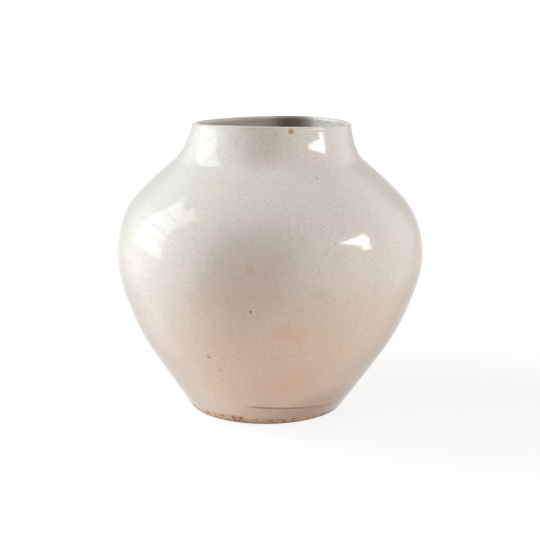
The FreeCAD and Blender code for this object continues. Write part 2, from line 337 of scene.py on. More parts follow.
def dent(height, angles):
    """How far the outer wall lies inside the solid."""
    sunk = wave_dent(height, angles)
    sunk = sunk + SEAM_DIP * hollow_at(height, SEAM_MIDDLE, SEAM_SPREAD)
    sunk = sunk + NECK_DIP * hollow_at(height, NECK_MIDDLE, NECK_SPREAD)
    return sunk + line_dent(height, angles)


def finger_ridge(height, angles):
    """How far the finger ridges of the inner wall stand in or out."""
    swing = FINGER_SWING * np.sin(3 * angles)
    return FINGER_DEPTH * np.sin(2 * np.pi * height / FINGER_PITCH + angles + swing)


print("the seam is pressed in %.2f mm on average" % (np.mean(dent(SEAM_MIDDLE, ray_angles)) / MM))

# %% [markdown]
# ## Rows of points
#
# Every piece of a jar is a section carried round an axis. A screw modifier would make true circles, but
# these rings wander and carry dents, so arrays work them out. The section is a list of rows, each one ring
# of points.

# %% Rings and heights
JOINT_FINE = 0.3 * MM


def around(count):
    """Angles of the points of a ring."""
    return np.linspace(0, 2 * np.pi, count, endpoint=False)


def row(angles, height, radius, x=0.0, y=0.0):
    """One ring of points about a centre."""
    points = np.empty((len(angles), 3))
    points[:, 0] = x + radius * np.cos(angles)
    points[:, 1] = y + radius * np.sin(angles)
    points[:, 2] = height
    return points


def levels(low, high, step):
    """Heights from low to high, closer together at both ends so that neighbouring skins meet smoothly."""
    count = max(2, round((high - low) / step))
    middle = np.linspace(low, high, count + 1)
    return np.concatenate([[low, low + JOINT_FINE], middle[1:-1], [high - JOINT_FINE, high]])


print("heights from 0 to 4 by 2:", levels(0, 4, 2))

# %% [markdown]
# ## Rows on the wall
#
# The mouth of this jar isn't level: it rises to the front, and drying has bent it a little up and down.
# Tilting the whole collar would tear it off at the neck, so each row takes a share of the tilt, none at the
# neck and all of it at the lip.

# %% Rows that follow the wall
WARP_TURN, WARP_DEPTH = 0.92, 0.93 * MM


def warp(angles):
    """How far drying has bent the mouth up or down out of its plane."""
    return WARP_DEPTH * np.sin(2 * angles - WARP_TURN)


def wall_row(wall, angles, height, push=0.0):
    """A ring on the measured wall, pushed outwards by a length. Above the neck it follows the mouth."""
    share = np.clip((height - NECK_TOP) / (LIP_BASE - NECK_TOP), 0, 1)
    tilted = height - share * MOUTH_SLOPE * wall[0](height) * np.sin(angles)
    ring = row(angles, tilted, wall[0](tilted) + push, wall[1](tilted), wall[2](tilted))
    ring[:, 2] += share * warp(angles)
    return ring


def outer_row(angles, height):
    """A ring on the outside of the wall, with its dents."""
    return wall_row(outside, angles, height, -dent(height, angles))


def inner_row(angles, height):
    """A ring on the inside of the wall, with the finger ridges."""
    return wall_row(inside, angles, height, finger_ridge(height, angles))


print("drying bent the mouth by %.2f mm up and down" % (WARP_DEPTH / MM))

# %% [markdown]
# ## From rows to a skin
#
# Quads join neighbouring rows, up the outside, over the edge and down the inside, so all faces look
# outwards and the skin closes. A solidify modifier would give a wall of one thickness, and thrown walls
# change theirs. Sharp bends stay sharp, and all others shade smoothly.

# %% The mesh of a skin
SHARP_BEND = math.radians(38)


def skin(name, rows, slot, *nodes):
    """A closed mesh through rows. A row of one point is a pole, and rows without poles close into a tube."""
    starts = np.cumsum([0] + [len(points) for points in rows])
    quads, triangles = [], []
    count = max(len(points) for points in rows)
    turn, after = np.arange(count), (np.arange(count) + 1) % count
    pairs = [(index, index + 1) for index in range(len(rows) - 1)]
    if len(rows[0]) > 1:
        pairs.append((len(rows) - 1, 0))
    for low, high in pairs:
        a, b = starts[low], starts[high]
        if len(rows[low]) == 1:
            triangles.append(np.stack([0 * turn + a, b + after, b + turn], axis=1))
        elif len(rows[high]) == 1:
            triangles.append(np.stack([a + turn, a + after, 0 * turn + b], axis=1))
        else:
            quads.append(np.stack([a + turn, a + after, b + after, b + turn], axis=1))
    faces = [face.tolist() for group in quads + triangles for face in group]
    mesh = bpy.data.meshes.new(name)
    mesh.from_pydata(np.concatenate(rows).tolist(), [], faces)
    mesh.shade_smooth()
    mesh.set_sharp_from_angle(angle=SHARP_BEND)
    piece = bpy.data.objects.new(name, mesh)
    bpy.context.collection.objects.link(piece)
    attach(piece, BODY)
    if nodes:
        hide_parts(*nodes)
    print("%s: %d faces" % (name, len(faces)))
    return piece


print("skins stay sharp over %.0f degrees" % math.degrees(SHARP_BEND))

# %% [markdown]
# ## The lower bowl
#
# The lower bowl was thrown the right way up, so its thickest clay is low. It carries the floor and sits
# with a short plug in the foot ring. The real bowl is one piece, so instead of three meshes one section
# runs from the middle of the underside round the plug, up, over the rim and down to the floor.

# %% The lower bowl's skin
angles = around(384)
OUTER_STEP, INNER_STEP = 1.6 * MM, 2.4 * MM
PLUG_RADIUS, PLUG_MIDDLE = 60.35 * MM, 6 * MM
FLOOR_CORNER, FLOOR_EDGE, FLOOR_MIDDLE = 4 * MM, 72 * MM, 4 * MM
FLOOR_SWIRL, FLOOR_LOOK = 0.3 * MM, 30 * MM
foot_x = outside[1](FOOT_EDGE)


def floor_row(radius):
    """A ring on the bowl's floor, at the height that rays from above find."""
    found = []
    for angle in ray_angles[::8]:
        start = Vector((radius * math.cos(angle), radius * math.sin(angle), FLOOR_TOP + FLOOR_LOOK))
        found.append(jar_tree.ray_cast(start, Vector((0, 0, -1)))[0].z)
    swirl = FLOOR_SWIRL * np.sin(2 * np.pi * radius / FINGER_PITCH - angles)
    return row(angles, float(np.mean(found)) + swirl, radius)


under = [np.array([[foot_x, 0, RECESS_TOP]])]
under += [row(angles, RECESS_TOP, radius, foot_x) for radius in np.linspace(PLUG_MIDDLE, PLUG_RADIUS, 14)]
under += [row(angles, BOWL_BASE, PLUG_RADIUS, foot_x)]
outer = [outer_row(angles, height) for height in levels(BOWL_BASE, SEAM_BOTTOM, OUTER_STEP)]
inner_heights = levels(FLOOR_TOP + FLOOR_CORNER, SEAM_BOTTOM, INNER_STEP)[::-1]
inner = [inner_row(angles, height) for height in inner_heights]
floor = [floor_row(radius) for radius in np.linspace(FLOOR_EDGE, FLOOR_MIDDLE, 24)]
floor += [floor_row(0.0)[:1]]
lower_bowl = skin("lower_bowl_skin", under + outer + inner + floor, "white_glaze", "lower_bowl")

# %% [markdown]
# ## The upper bowl
#
# The upper bowl was thrown and turned over, so its thickest clay is at the shoulder, and it was cut open
# for the neck. A mirrored lower bowl would have the wrong shape, so it gets a section of its own.

# %% The upper bowl's skin
outer = [outer_row(angles, height) for height in levels(SEAM_TOP, NECK_BOTTOM, OUTER_STEP)]
inner = [inner_row(angles, height) for height in levels(SEAM_TOP, NECK_BOTTOM, INNER_STEP)[::-1]]
upper_bowl = skin("upper_bowl_skin", outer + inner, "white_glaze", "upper_bowl")

# %% [markdown]
# ## The slip between the pieces
#
# Slip, clay thinned with water, glues the rims and the neck. Outside it was wiped flush. Inside the belly,
# out of reach, it stayed as a squeezed bead. A torus over the seam would cut into the walls, so the bead is
# part of the band's own section.

# %% The bands at the belly and the neck
BEAD_HEIGHT, BEAD_DEPTH, BEAD_LAP = 7 * MM, 2.4 * MM, 0.45 * MM
BEAD_EVEN, BEAD_UNEVEN = 0.82, 0.18
bead = BEAD_HEIGHT / 2 - SLIP_LAYER / 2


def bead_row(height):
    """A ring on the slip's inner face, which bulges into the jar, unevenly squeezed."""
    share = (height - SEAM_MIDDLE) / (BEAD_HEIGHT / 2)
    squeezed = BEAD_EVEN + BEAD_UNEVEN * np.sin(7 * angles + 2 * np.sin(3 * angles))
    bulge = BEAD_DEPTH * np.sqrt(max(0.0, 1 - share ** 2)) * squeezed
    return wall_row(inside, angles, height, FINGER_DEPTH - bulge)


def lap_row(height):
    """A ring where the bead's clay laps on the wall."""
    return wall_row(inside, angles, height, BEAD_LAP)


band = [outer_row(angles, height) for height in np.linspace(SEAM_BOTTOM, SEAM_TOP, 5)]
band += [lap_row(SEAM_TOP), lap_row(SEAM_TOP + bead)]
band += [bead_row(height) for height in np.linspace(SEAM_TOP + bead, SEAM_BOTTOM - bead, 17)]
band += [lap_row(SEAM_BOTTOM - bead), lap_row(SEAM_BOTTOM)]
belly_band = skin("belly_band", band, "white_glaze", "belly_slip")

outer = [outer_row(angles, height) for height in np.linspace(NECK_BOTTOM, NECK_TOP, 5)]
inner = [inner_row(angles, height) for height in np.linspace(NECK_TOP, NECK_BOTTOM, 3)]
neck_band = skin("neck_band", outer + inner, "white_glaze", "neck_slip")

# %% [markdown]
# ## The collar with its round lip
#
# The collar is short, and its lip was pressed round with wet leather, which left a fine crease below. A
# bevel would leave out the crease. So the section goes up past the crease, over the lip in two quarter
# circles, and down the bore.

# %% The collar's rows
collar_angles = around(640)
COLLAR_STEP, COLLAR_GAP = 1.2 * MM, 1 * MM
BORE_STEP, BORE_GAP = 1.6 * MM, 1.2 * MM
LIP_ROUND = 2.7 * MM
LIP_STARTS = (-0.3 * MM, 0.2 * MM, 0.6 * MM)
CREASE_UP, CREASE_DEPTH = 1.55 * MM, 0.28 * MM
CREASE_ROWS = ((-0.6 * MM, 0.2), (-0.3 * MM, 0.7), (0.0, 1.0), (0.25 * MM, 0.5))
CREASE_TOP = 0.4 * MM
ROUND_HEIGHT = LIP_HEIGHT - CREASE_UP - CREASE_TOP


def lip_row(up, radius):
    """A ring of the lip, at a height above its base, which rises and falls with the mouth."""
    high = LIP_BASE + up - MOUTH_SLOPE * lip_radius * np.sin(collar_angles) + warp(collar_angles)
    return row(collar_angles, high, radius, lip_x, lip_y)


def quarter(start, end, steps=8):
    """Places along a quarter of a circle: how far across, and how far up."""
    turn = np.linspace(start, end, steps)
    return list(zip(np.cos(turn), np.sin(turn)))


outer = [outer_row(collar_angles, height) for height in levels(NECK_TOP, LIP_BASE - COLLAR_GAP, COLLAR_STEP)]
lip_out = lip_radius - dent(LIP_BASE, collar_angles)
lip = [lip_row(up, lip_out) for up in LIP_STARTS]
lip += [lip_row(CREASE_UP + up, lip_out - CREASE_DEPTH * share) for up, share in CREASE_ROWS]
for across, up in quarter(0, math.pi / 2):
    lip.append(lip_row(LIP_HEIGHT - ROUND_HEIGHT * (1 - up), lip_out - LIP_ROUND * (1 - across)))
for across, up in quarter(math.pi / 2, math.pi):
    lip.append(lip_row(LIP_HEIGHT - LIP_ROUND * (1 - up), lip_bore + LIP_ROUND * (1 + across)))
bore_heights = levels(NECK_TOP, LIP_BASE - BORE_GAP, BORE_STEP)[::-1]
inner = [inner_row(collar_angles, height) for height in bore_heights]
print("the collar has %d rows, %d of them on the lip" % (len(outer + lip + inner), len(lip)))

# %% [markdown]
# ## A flake off the rim
#
# In front, just under the lip, a flake of glaze has come off and shows the clay. Colour alone would look
# painted on. Points near it are pushed towards the axis, with a ragged edge, which leaves a real hollow.

# %% The flake and the collar's skin
CHIP_RADIUS, CHIP_DEPTH = 3.3 * MM, 0.7 * MM
CHIP_LOBES = ((2, 0.22), (5, 0.16))
RIM_CHIP = on_jar(290.5, 131.7)
chip_place = np.array(RIM_CHIP)
chip_waves = random.Random(12)
chip_edge = [(count, size, chip_waves.uniform(0, 2 * math.pi)) for count, size in CHIP_LOBES]


def chipped(points):
    """Points near the chip pushed towards the axis, with a ragged edge."""
    away = points - chip_place
    around_chip = np.arctan2(away[:, 2], away[:, 0])
    ragged = 1 + sum(size * np.sin(count * around_chip + start) for count, size, start in chip_edge)
    share = np.clip(1 - np.linalg.norm(away, axis=1) / (CHIP_RADIUS * ragged), 0, 1)
    kept = 1 - CHIP_DEPTH * np.sqrt(share) / np.hypot(points[:, 0], points[:, 1])
    return points * np.stack([kept, kept, np.ones(len(points))], axis=1)


print("the flake is %.0f mm up" % (RIM_CHIP.z / MM))
collar_rows = [chipped(points) for points in outer + lip + inner]
collar = skin("collar_skin", collar_rows, "white_glaze", "neck_collar")

# %% [markdown]
# ## Where the glaze ends
#
# Before the firing the potter wiped the glaze off the edge of the foot, or it would stick to the kiln
# shelf. The hem that is left is ragged, and higher at the left. One skin in two colours would look flat up
# close. So the foot is two: the clay ring, a little slimmer than its solid, and a coat over it whose lower
# edge follows a curve of its own.

# %% The height of the hem
foot_angles = around(1024)
HEM_LOW, HEM_RISE, HEM_BACK = 3.8 * MM, 4.0 * MM, 1.6 * MM
HEM_LEFT, HEM_LEFT_SPREAD = -134, 52
HEM_REAR, HEM_REAR_SPREAD = 60, 80
HEM_WOBBLE, HEM_LEAST = 0.38, 0.6 * MM
hem_waves = random.Random(31)
hem_parts = [(count, hem_waves.uniform(0, 2 * math.pi), 1 / count ** 0.55)
             for count in (3, 5, 7, 11, 16, 23, 34, 47, 71, 97, 131)]


def facing(angles, direction, spread):
    """One where the foot faces a direction in degrees, falling to nothing beyond a spread."""
    apart = np.degrees(np.abs((angles - math.radians(direction) + np.pi) % (2 * np.pi) - np.pi))
    return np.clip(1 - apart / spread, 0, 1) ** 0.7


def hem_height(angles):
    """How far above the table the glaze ends."""
    wobble = sum(size * np.sin(count * angles + start) for count, start, size in hem_parts)
    high = HEM_LOW + HEM_RISE * facing(angles, HEM_LEFT, HEM_LEFT_SPREAD)
    high = high + HEM_BACK * facing(angles, HEM_REAR, HEM_REAR_SPREAD)
    return np.maximum(high * (1 + HEM_WOBBLE * wobble), HEM_LEAST)


hem = hem_height(foot_angles)
print("hem from %.1f to %.1f mm up" % (hem.min() / MM, hem.max() / MM))

# %% [markdown]
# ## The clay ring
#
# The foot ring was turned from a thick coil: flat below, hollow inside, its lower edges worn round. Cuts in
# a cylinder would make it, but rows carry the dents of the wall on over it.

# %% The clay ring's skin
GLAZE_COAT = 0.5 * MM
COAT_SINK = GLAZE_COAT * 0.6
RING_EDGE = 0.6 * MM
RING_BORE, BORE_TOP = 65.9 * MM, 61.9 * MM
BORE_HIGH, BORE_LOW = 0.5 * MM, 0.6 * MM
WORN_ROWS = ((0.15 * MM, -0.5 * MM), (0.5 * MM, -0.12 * MM))
RAGGED_TOP, PLAIN_START = 8 * MM, 9 * MM
foot_base = outside[0](FOOT_EDGE) - RING_EDGE


def clay_row(height, push=0.0):
    """A ring on the outside of the clay, under the coat."""
    return wall_row(outside, foot_angles, height, push - COAT_SINK - dent(height, foot_angles))


def bore_row(height):
    """A ring on the wall of the hollow under the jar."""
    return row(foot_angles, height, RING_BORE + (BORE_TOP - RING_BORE) * height / RECESS_TOP, foot_x)


sole = (RING_BORE + RING_EDGE, (RING_BORE + foot_base) / 2, foot_base - RING_EDGE)
clay = [row(foot_angles, 0.0, radius, foot_x) for radius in sole]
clay += [clay_row(height, push) for height, push in WORN_ROWS]
clay += [clay_row(height) for height in np.linspace(FOOT_EDGE, RAGGED_TOP, 12)]
clay += [clay_row(height) for height in np.linspace(PLAIN_START, FOOT_TOP, 8)]
clay += [row(foot_angles, FOOT_TOP, BORE_TOP, foot_x), row(foot_angles, RECESS_TOP, BORE_TOP, foot_x)]
clay += [bore_row(height) for height in np.linspace(RECESS_TOP - BORE_HIGH, BORE_LOW, 10)]
foot_clay = skin("foot_clay", clay, "bare_clay", "foot_ring")

# %% [markdown]
# ## The coat over the foot
#
# The coat is a thin sleeve of glaze. Its upper rows are level, and its lower rows bend more and more to the
# ragged hem, where a half round roll closes it. Cutting a sleeve with a wavy sheet would leave slivers.
# Rows that follow the hem leave only clean quads.

# %% The coat's skin
HEM_ROLL, COAT_MIDDLE = 0.42 * MM, 12 * MM
COAT_THICK, COAT_BELOW = 0.22 * MM, 0.3 * MM


def coat_row(height, push):
    """A ring of the coat, whose height may differ from place to place round the foot."""
    radius = outside[0](height) + push - dent(height, foot_angles)
    return row(foot_angles, height, radius, outside[1](height), outside[2](height))


coat = [coat_row(FOOT_TOP, -GLAZE_COAT - COAT_BELOW)]
coat += [coat_row(height, 0.0) for height in np.linspace(FOOT_TOP, COAT_MIDDLE, 24)]
for share in np.linspace(0, 1, 12)[1:]:
    height = COAT_MIDDLE - share * (COAT_MIDDLE - hem - HEM_ROLL)
    coat.append(coat_row(height, COAT_THICK * share ** 5))
for turn in np.linspace(0, math.pi, 7)[1:]:
    height = hem + HEM_ROLL * (1 - math.sin(turn))
    coat.append(coat_row(height, COAT_THICK - (GLAZE_COAT + COAT_BELOW) * (1 - math.cos(turn)) / 2))
foot_glaze = skin("foot_glaze", coat[::-1], "white_glaze")

# %% [markdown]
# ## The slip over the foot
#
# Above the ring lies the slip that stuck it to the bowl: a flange in the joint and a short sleeve round the
# bowl's plug. In the solid it lies back in the joint. Here the same glaze covers it, so its outer rows are
# rows of the wall.

# %% The flanged sleeve
flange = [outer_row(foot_angles, height) for height in np.linspace(FOOT_TOP, BOWL_BASE, 6)]
flange += [row(foot_angles, height, radius, foot_x) for height, radius in (
    (BOWL_BASE, PLUG_RADIUS), (RECESS_TOP, PLUG_RADIUS), (RECESS_TOP, BORE_TOP), (FOOT_TOP, BORE_TOP))]
foot_line = skin("foot_line", flange, "white_glaze", "foot_slip")

# %% [markdown]
# ## A language for finishes
#
# A finish is a small network of nodes. Made and linked one by one, they are hard to read. So a socket is
# wrapped, a sum of sockets is written as a sum, and each operator adds the Math node for it.

# %% Values that can be added
class Value:
    """A socket in a finish. Operators on it add Math nodes."""

    def __init__(self, finish, socket):
        self.finish, self.socket = finish, socket

    def math(self, operation, *values):
        """A Math node over values."""
        return self.finish.node("ShaderNodeMath", {"operation": operation}, dict(enumerate(values)))

    def output(self, name):
        """Another output of the node that this socket belongs to."""
        return Value(self.finish, self.socket.node.outputs[name])

    def __add__(self, other):
        return self.math("ADD", self, other)

    def __sub__(self, other):
        return self.math("SUBTRACT", self, other)

    def __rsub__(self, other):
        return self.math("SUBTRACT", other, self)

    def __mul__(self, other):
        return self.math("MULTIPLY", self, other)

    __radd__, __rmul__ = __add__, __mul__

    def both(self, other):
        """Where either of two masks is."""
        return self.math("MAXIMUM", self, other)

    def size(self):
        """The value without its sign."""
        return self.math("ABSOLUTE", self)


print("words of a value:", ", ".join(name for name in vars(Value) if not name.startswith("_")))

# %% [markdown]
# ## Nodes from one method
#
# All other nodes come from one method: a node's settings first, then values or links for its sockets. Code
# for each kind would repeat itself. Fades, blends and vector sums are short words over it.

# %% The plain words
class Recipe:
    """A network of nodes for a material or for the room, and the plain words to write it with."""

    def __init__(self, name, kind="materials", place="Object"):
        self.made = getattr(bpy.data, kind).new(name)
        self.made.use_nodes = True
        self.tree = self.made.node_tree
        self.tree.nodes.clear()
        self.place = self.node("ShaderNodeTexCoord", {}, {}, place)

    def node(self, kind, settings, sockets, output=0):
        """A node of a kind, its settings first, then its sockets, which take values or links."""
        made = self.tree.nodes.new(kind)
        for name, value in settings.items():
            setattr(made, name, value)
        for name, value in sockets.items():
            if isinstance(value, Value):
                self.tree.links.new(value.socket, made.inputs[name])
            else:
                made.inputs[name].default_value = value
        return Value(self, made.outputs[output]) if made.outputs else made

    def fade(self, value, start, end):
        """0 at the start and 1 at the end, with soft ends."""
        return self.node("ShaderNodeMapRange", {"interpolation_type": "SMOOTHSTEP"}, {
            "Value": value, "From Min": start, "From Max": end})

    def vector(self, operation, first, second, output=0):
        """A sum, difference or product of two vectors, or with the second output a length."""
        return self.node("ShaderNodeVectorMath", {"operation": operation}, {0: first, 1: second}, output)

    def length(self, vector):
        """How long a vector is."""
        return self.vector("LENGTH", vector, (0, 0, 0), 1)

    def blend(self, mask, first, second):
        """The first colour where the mask is 0, the second where it is 1."""
        return self.node("ShaderNodeMix", {"data_type": "RGBA"}, {0: mask, 6: first, 7: second}, 2)

    def seen(self):
        """1 for camera, glossy and transmission rays, which should find a white background."""
        path = self.node("ShaderNodeLightPath", {}, {})
        return path.both(path.output("Is Glossy Ray")).both(path.output("Is Transmission Ray"))


def paint(red, green, blue):
    """A colour as written on screen, 0 to 255, turned into the light that a shader works with."""
    shares = [value / 255 for value in (red, green, blue)]
    light = [share / 12.92 if share <= 0.04045 else ((share + 0.055) / 1.055) ** 2.4 for share in shares]
    return tuple(light) + (1,)


print("middle grey on screen is %.2f of white light" % paint(128, 128, 128)[0])

# %% [markdown]
# ## Words for ceramics
#
# A fired surface is made of soft clouds, ragged spots and grains. Pictures of them would have to be painted
# and unwrapped. Noise in the jar's own space has no seams and runs on over the joints.

# %% Noise, spots and grains
class Finish(Recipe):
    """The finish of a fired surface."""

    def noise(self, size, detail=2.0, rough=0.5, shift=0.0):
        """Soft noise from 0 to 1 whose blobs are about a size across, in metres."""
        place = self.vector("ADD", self.place, (shift, -shift, shift)) if shift else self.place
        return self.node("ShaderNodeTexNoise", {}, {
            "Vector": place, "Scale": 1 / size, "Detail": detail, "Roughness": rough})

    def spot(self, place, size, soft, stretch):
        """1 near a place and 0 beyond a size, with an edge that is soft over a share of it."""
        away = self.vector("SUBTRACT", self.place, tuple(place))
        away = self.vector("MULTIPLY", away, stretch)
        ragged = (self.noise(size * 0.8, 3) - 0.5) * (size * 0.7)
        return self.fade(self.length(away) + ragged, size, size * (1 - soft))

    def specks(self, spacing, size, share):
        """Small round grains in about a share of cells that are a spacing wide."""
        grain = self.node("ShaderNodeTexVoronoi", {}, {"Vector": self.place, "Scale": 1 / spacing})
        drawn = self.node("ShaderNodeSeparateColor", {}, {0: grain.output("Color")})
        size = size / spacing
        return self.fade(grain, size, size * 0.4) * self.fade(drawn, 1 - share, 1 - share + 0.03)

    def bumps(self, height, depth):
        """A surface roughened by a height from 0 to 1 times a depth."""
        return self.node("ShaderNodeBump", {}, {"Strength": 1.0, "Distance": depth, "Height": height})

    def surface(self, colour, roughness, normal, **numbers):
        """The shader at the end of the recipe."""
        sockets = {"Base Color": colour, "Roughness": roughness, "Normal": normal}
        sockets.update(numbers)
        shader = self.node("ShaderNodeBsdfPrincipled", {}, sockets)
        self.node("ShaderNodeOutputMaterial", {}, {"Surface": shader})
        return self.made


print("words for ceramics:", ", ".join(name for name in vars(Finish) if not name.startswith("_")))

# %% [markdown]
# ## Marks and painted shade
#
# A few marks make this jar itself: rust spots, blushes and iron grains. Other soft marks are painted shade:
# a rosy-grey cloud over the front's middle, shade on the front of the neck and inside it, and shade low at
# the right of the foot.
# Noise can't put them where they are, so each has its place in the photograph, size, colour, strength and
# squeeze. Soft marks only tint. Hard ones also break the gloss.

# %% Where the marks are
RUST, UMBER, BLUSH = paint(205, 160, 122), paint(120, 84, 58), paint(234, 192, 160)
# painted shade: all three colours on the next line, and the first one on the line after
FRONT_SHADE, SHADE, NECK_SHADE = paint(156, 118, 104), paint(108, 90, 78), paint(168, 152, 138)
FOOT_SHADE, BISCUIT = paint(172, 134, 106), paint(198, 152, 118)
IRON, BURN = paint(70, 55, 44), paint(190, 132, 104)
ROUND = (1, 1, 1)


def marks(rows):
    """Marks on the wall, from rows of pixels across and down, size in mm, colour, strength and squeeze."""
    return [(on_jar(across, down), size * MM, *rest) for across, down, size, *rest in rows]


soft_marks = marks([
    (250, 270, 6.5, RUST, 0.32, ROUND),
    (320, 295, 9, RUST, 0.22, (0.8, 1, 1.2)),
    (288, 334, 27, BLUSH, 0.42, (1, 1, 1.9)),
    (285, 383, 50, BLUSH, 0.22, (1, 1, 1.7)),
    (392, 318, 15, BLUSH, 0.3, ROUND),
    # painted shade: a rosy-grey cloud, in two marks, that darkens the front's middle
    (249, 262, 64, FRONT_SHADE, 0.17, (1, 1, 1.1)),
    (252, 286, 92, FRONT_SHADE, 0.22, ROUND),
    # painted shade on the front of the neck
    (262, 143, 34, NECK_SHADE, 0.35, ROUND),
    (293, 124, 32, SHADE, 0.88, (1, 1, 0.8)),
    # painted shade low at the right of the foot
    (322, 402, 48, FOOT_SHADE, 0.42, (1, 1, 1.8)),
])
hard_marks = [(RIM_CHIP, CHIP_RADIUS, BISCUIT, 0.95, (1, 1, 1.1))] + marks([
    (276, 134, 0.8, UMBER, 0.6, ROUND),
    (317, 178, 1.1, UMBER, 0.75, ROUND),
    (250, 311.5, 1.2, IRON, 0.95, ROUND),
    (193, 238, 1.4, UMBER, 0.35, ROUND),
    (341, 147, 1.1, UMBER, 0.4, ROUND),
    (208, 357, 1.7, UMBER, 0.4, (0.55, 1, 0.8)),
    (220, 370, 2.1, BURN, 0.45, (0.8, 1, 1)),
])
print("%d soft marks and %d hard ones" % (len(soft_marks), len(hard_marks)))

# %% [markdown]
# ## The ground of the glaze
#
# The glaze is clear with milk in it, over a body that holds a little iron. Low on the front it turns rosy,
# partly the iron's own warmth where the kiln was hotter, and partly painted warm shade, fading out on the
# window's side. Crumbs of a millimetre or two keep it from looking like plastic, and single grains of iron
# show as specks. One flat colour would lose all that, so blends build it up, from the widest to the finest.

# %% Milk, warmth and crumbs
CREAM, ROSY, ASH = paint(230, 227, 221), paint(232, 213, 201), paint(222, 218, 212)
DARK_CRUMB, PALE_CRUMB = paint(180, 168, 152), paint(243, 239, 231)
WARM_TOP, WARM_FULL = 215 * MM, 110 * MM
BACK_SHARE, LEFT_SHARE = 0.45, 0.35
SPECK_SPACING, SPECK_SIZE, SPECK_SHARE = 2.8 * MM, 0.5 * MM, 0.35


def ground(finish, across, depth, height):
    """The colour of the glaze before any mark."""
    # the rosy tint is painted warm shade as well as the jar's own warmth: more to the front, less on the
    # window's side
    front = BACK_SHARE + (1 - BACK_SHARE) * finish.fade(depth, -20 * MM, -110 * MM)
    inward = LEFT_SHARE + (1 - LEFT_SHARE) * finish.fade(across, -125 * MM, -50 * MM)
    warm = finish.fade(height + finish.noise(70 * MM, 3) * (60 * MM), WARM_TOP, WARM_FULL) * front * inward
    colour = finish.blend(warm * 0.85, CREAM, ROSY)
    ashen = finish.fade(finish.noise(38 * MM, 3, shift=3.1), 0.5, 0.75)
    colour = finish.blend(ashen * 0.3, colour, ASH)
    blotch = finish.fade(finish.noise(24 * MM, 4, shift=7.7), 0.52, 0.72)
    colour = finish.blend(blotch * (0.05 + 0.1 * warm), colour, BLUSH)
    dark = finish.fade(finish.noise(1.9 * MM, 4, 0.75), 0.5, 0.72)
    colour = finish.blend(dark * 0.6, colour, DARK_CRUMB)
    pale = finish.fade(finish.noise(2.6 * MM, 3, 0.7, shift=5.3), 0.54, 0.74)
    colour = finish.blend(pale * 0.45, colour, PALE_CRUMB)
    return finish.blend(finish.specks(SPECK_SPACING, SPECK_SIZE, SPECK_SHARE) * 0.4, colour, UMBER)


print("no rosy warmth above %.0f mm" % (WARM_TOP / MM))

# %% [markdown]
# ## Near the foot and near the outline
#
# Low down the kiln has stained the glaze in patches at the hem. The open line is brown, partly stain and
# partly painted shade of its groove, and under it at the right the glaze is darker. Where the surface turns
# away from the camera a Layer Weight node paints shade, greyer towards the outline, and inside the neck
# shade is painted on the wall but for its right end.

# %% Stains, and painted shade at the outline and inside the neck
BELOW_LINE_DARK, LINE_STAIN_AND_SHADE, HEM_BROWN = paint(158, 122, 98), paint(134, 102, 78), paint(166, 122, 94)
EDGE_SHADE, NECK_BORE_SHADE = paint(180, 170, 160), paint(186, 164, 148)
BORE_START, BORE_FULL = 75 * MM, 71.5 * MM


def stained(finish, colour, across, depth, height):
    """The foot's stains and painted shade: the open line, partly stain and partly painted shade of its
    groove, the darker glaze below it at the right, and the stained hem.
    """
    over_line = height - LINE_RIGHT * across - LINE_BACK * depth - LINE_LEVEL
    # darker glaze below the line at the right
    darker_below_line = finish.fade(over_line, 0, -2.5 * MM) * finish.fade(across, -40 * MM, 40 * MM)
    colour = finish.blend(darker_below_line * 0.4, colour, BELOW_LINE_DARK)
    # the open line: partly a brown stain, partly painted shade of its groove
    line = finish.fade(over_line.size(), 1.7 * MM, 0.3 * MM) * finish.fade(depth, 0, -8 * MM)
    line = line * finish.fade(across, LINE_START.x - LINE_FADE / 2, LINE_START.x + LINE_FADE / 2)
    line = line * finish.fade(across, LINE_END.x + LINE_FADE / 2, LINE_END.x - LINE_FADE / 2)
    colour = finish.blend(line * 0.8, colour, LINE_STAIN_AND_SHADE)
    patches = finish.noise(7 * MM, 4, 0.65, shift=2.2)
    hem_stain = finish.fade(height + patches * (12 * MM), 13 * MM, 9 * MM)
    return finish.blend(hem_stain * 0.8, colour, HEM_BROWN)


def painted_edge_shade(finish, colour):
    """Painted shade: the glaze greyer where its surface turns away from the camera."""
    turned_away = finish.node("ShaderNodeLayerWeight", {}, {"Blend": 0.5}, "Facing")
    # painted shade: greyer where the surface turns away from the camera
    return finish.blend(finish.fade(turned_away, 0.49, 0.88) * 0.9, colour, EDGE_SHADE)


def painted_neck_bore_shade(finish, colour, across):
    """Painted shade on the wall inside the neck, but for its right end, which catches the window."""
    from_axis = finish.length(finish.vector("MULTIPLY", finish.place, (1, 1, 0)))
    # painted shade inside the neck, left off its right end
    within = finish.fade(from_axis, BORE_START, BORE_FULL) * finish.fade(across, 52 * MM, 30 * MM)
    return finish.blend(within * 0.45, colour, NECK_BORE_SHADE)


print("the neck's inner tone starts %.1f mm from the axis" % (BORE_START / MM))

# %% [markdown]
# ## White glaze, piece by piece
#
# One material for the whole jar would have to carry every mark. One for each piece takes only the marks
# that reach it, and the shared space of the noise hides where they meet. The gloss wavers a little, and so
# does the surface.

# %% The glaze
GLOSS, GLOSS_WAVER, BARE_ROUGH = 0.07, 0.05, 0.4
PEEL_SIZE, PEEL_DEPTH = 2.6 * MM, 0.02 * MM
SOFT_EDGE, HARD_EDGE = 0.85, 0.4


